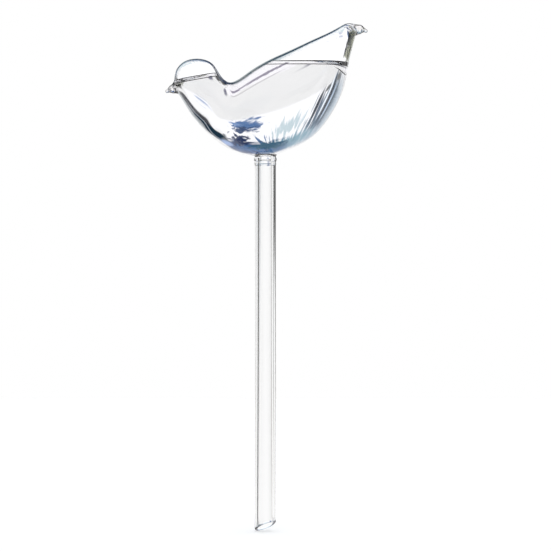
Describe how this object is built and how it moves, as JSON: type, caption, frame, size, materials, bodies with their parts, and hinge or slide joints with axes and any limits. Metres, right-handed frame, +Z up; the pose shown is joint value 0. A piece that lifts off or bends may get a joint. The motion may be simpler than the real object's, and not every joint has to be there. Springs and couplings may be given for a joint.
{
  "type": "watering globe",
  "caption": "Clear blown-glass watering globe in the form of a bird on a long hollow stem with a slanted drip end, holding a charge of water.",
  "frame": {"origin": "on the stem's axis, level with the lowest point of the drip end", "axes": "+Z up the stem, the beak towards -X, the tail towards +X, the bird's left and right along Y"},
  "size_m": [0.1003, 0.0484, 0.2498],
  "materials": {
    "bulb_glass": "gloss",
    "tip_glass": "gloss",
    "collar_glass": "gloss",
    "stem_glass": "gloss",
    "water": "gloss"
  },
  "bodies": {
    "root": {"bird_bulb": "bulb_glass", "beak_tip": "tip_glass", "tail_tip": "tip_glass", "weld_collar": "collar_glass", "stem_tube": "stem_glass", "water_charge": "water"}
  },
  "joints": []
}
